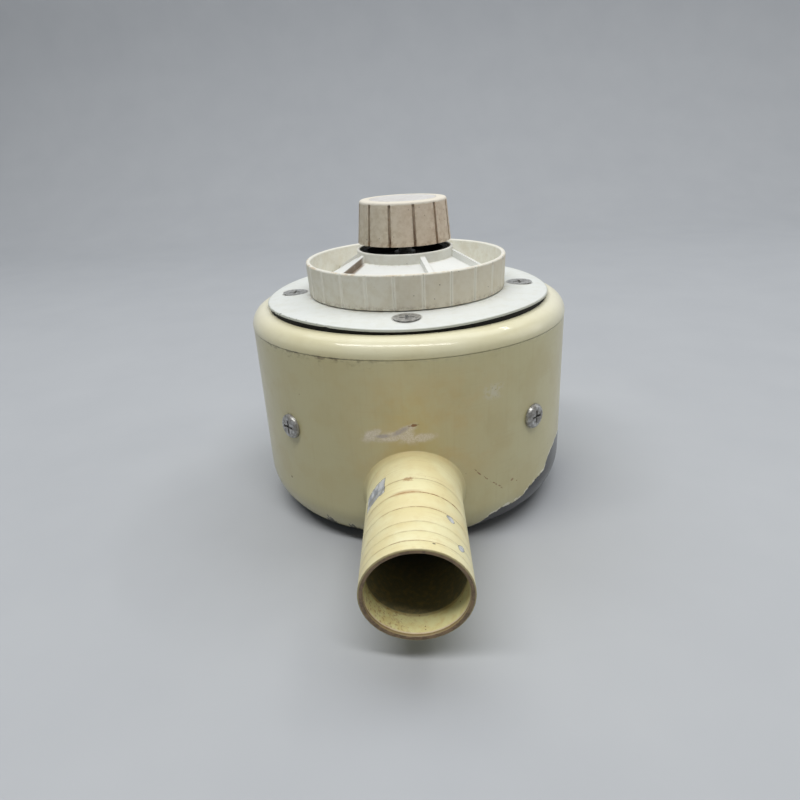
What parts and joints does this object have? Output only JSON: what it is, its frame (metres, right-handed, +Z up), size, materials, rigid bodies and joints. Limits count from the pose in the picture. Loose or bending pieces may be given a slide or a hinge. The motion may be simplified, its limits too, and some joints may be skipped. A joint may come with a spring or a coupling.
{
  "type": "cabin air muffler with adjustable outlet",
  "caption": "Round spun can silencer with a side inlet tube, trim plate, fluted diffuser ring and a centre knob that opens a poppet valve.",
  "frame": {"origin": "centre of the can's flat base, on the can's axis", "axes": "+Z up along the can's axis towards the knob; the inlet tube points along -Y"},
  "size_m": [0.121, 0.1728, 0.115],
  "materials": {
    "cream_paint": "satin cream enamel over spun aluminium, chipped and stained",
    "tube_paint": "cream-yellow enamel with fine ring scores",
    "plate_paint": "satin off-white enamel",
    "ring_plastic": "aged off-white moulded plastic",
    "knob_plastic": "aged beige moulded plastic with dirt in the grooves",
    "cap_plastic": "pale beige moulded plastic",
    "screw_steel": "plated steel",
    "spring_steel": "phosphated spring steel",
    "bare_aluminium": "mill finish",
    "dark_metal": "black anodised",
    "brass": "machined",
    "black_rubber": "matt",
    "white_nylon": "natural nylon",
    "foam": "open-cell acoustic felt"
  },
  "bodies": {
    "housing": {"can_body": "cream_paint", "lid": "cream_paint", "inlet_tube": "tube_paint", "inlet_weld": "cream_paint", "base_lining": "foam", "wall_lining": "foam", "perforated_drum": "bare_aluminium", "side_screws": "screw_steel", "drum_spacers": "bare_aluminium", "side_nuts": "screw_steel", "plate_gasket": "black_rubber", "trim_plate": "plate_paint", "plate_screws": "screw_steel", "anchor_nuts": "screw_steel", "outlet_body": "dark_metal", "lock_nut": "bare_aluminium", "friction_washer": "white_nylon", "snap_ring": "spring_steel", "valve_seat": "brass", "spindle_bridge": "dark_metal", "bridge_bush": "brass"},
    "ring": {"diffuser_ring": "ring_plastic"},
    "valve": {"poppet": "dark_metal", "poppet_seal": "black_rubber"},
    "knob": {"control_knob": "knob_plastic", "knob_insert": "brass", "knob_screw": "screw_steel", "knob_cap": "cap_plastic", "spindle": "screw_steel", "poppet_clip": "spring_steel", "stop_clip": "spring_steel"}
  },
  "joints": [
    {"name": "ring_turn", "type": "hinge", "parent": "housing", "child": "ring", "pos_m": [0, 0, 0.09], "axis": [0, 0, 1], "continuous": true},
    {"name": "valve_lift", "type": "slide", "parent": "housing", "child": "valve", "axis": [0, 0, 1], "range_m": [-0.002, 0.004]},
    {"name": "knob_turn", "type": "hinge", "parent": "valve", "child": "knob", "pos_m": [0, 0, 0.105], "axis": [0, 0, 1], "range_deg": [-180, 360]}
  ],
  "couplings": [
    {"joint": "valve_lift", "follows": "knob_turn", "m_per_rad": 0.00063662}
  ]
}
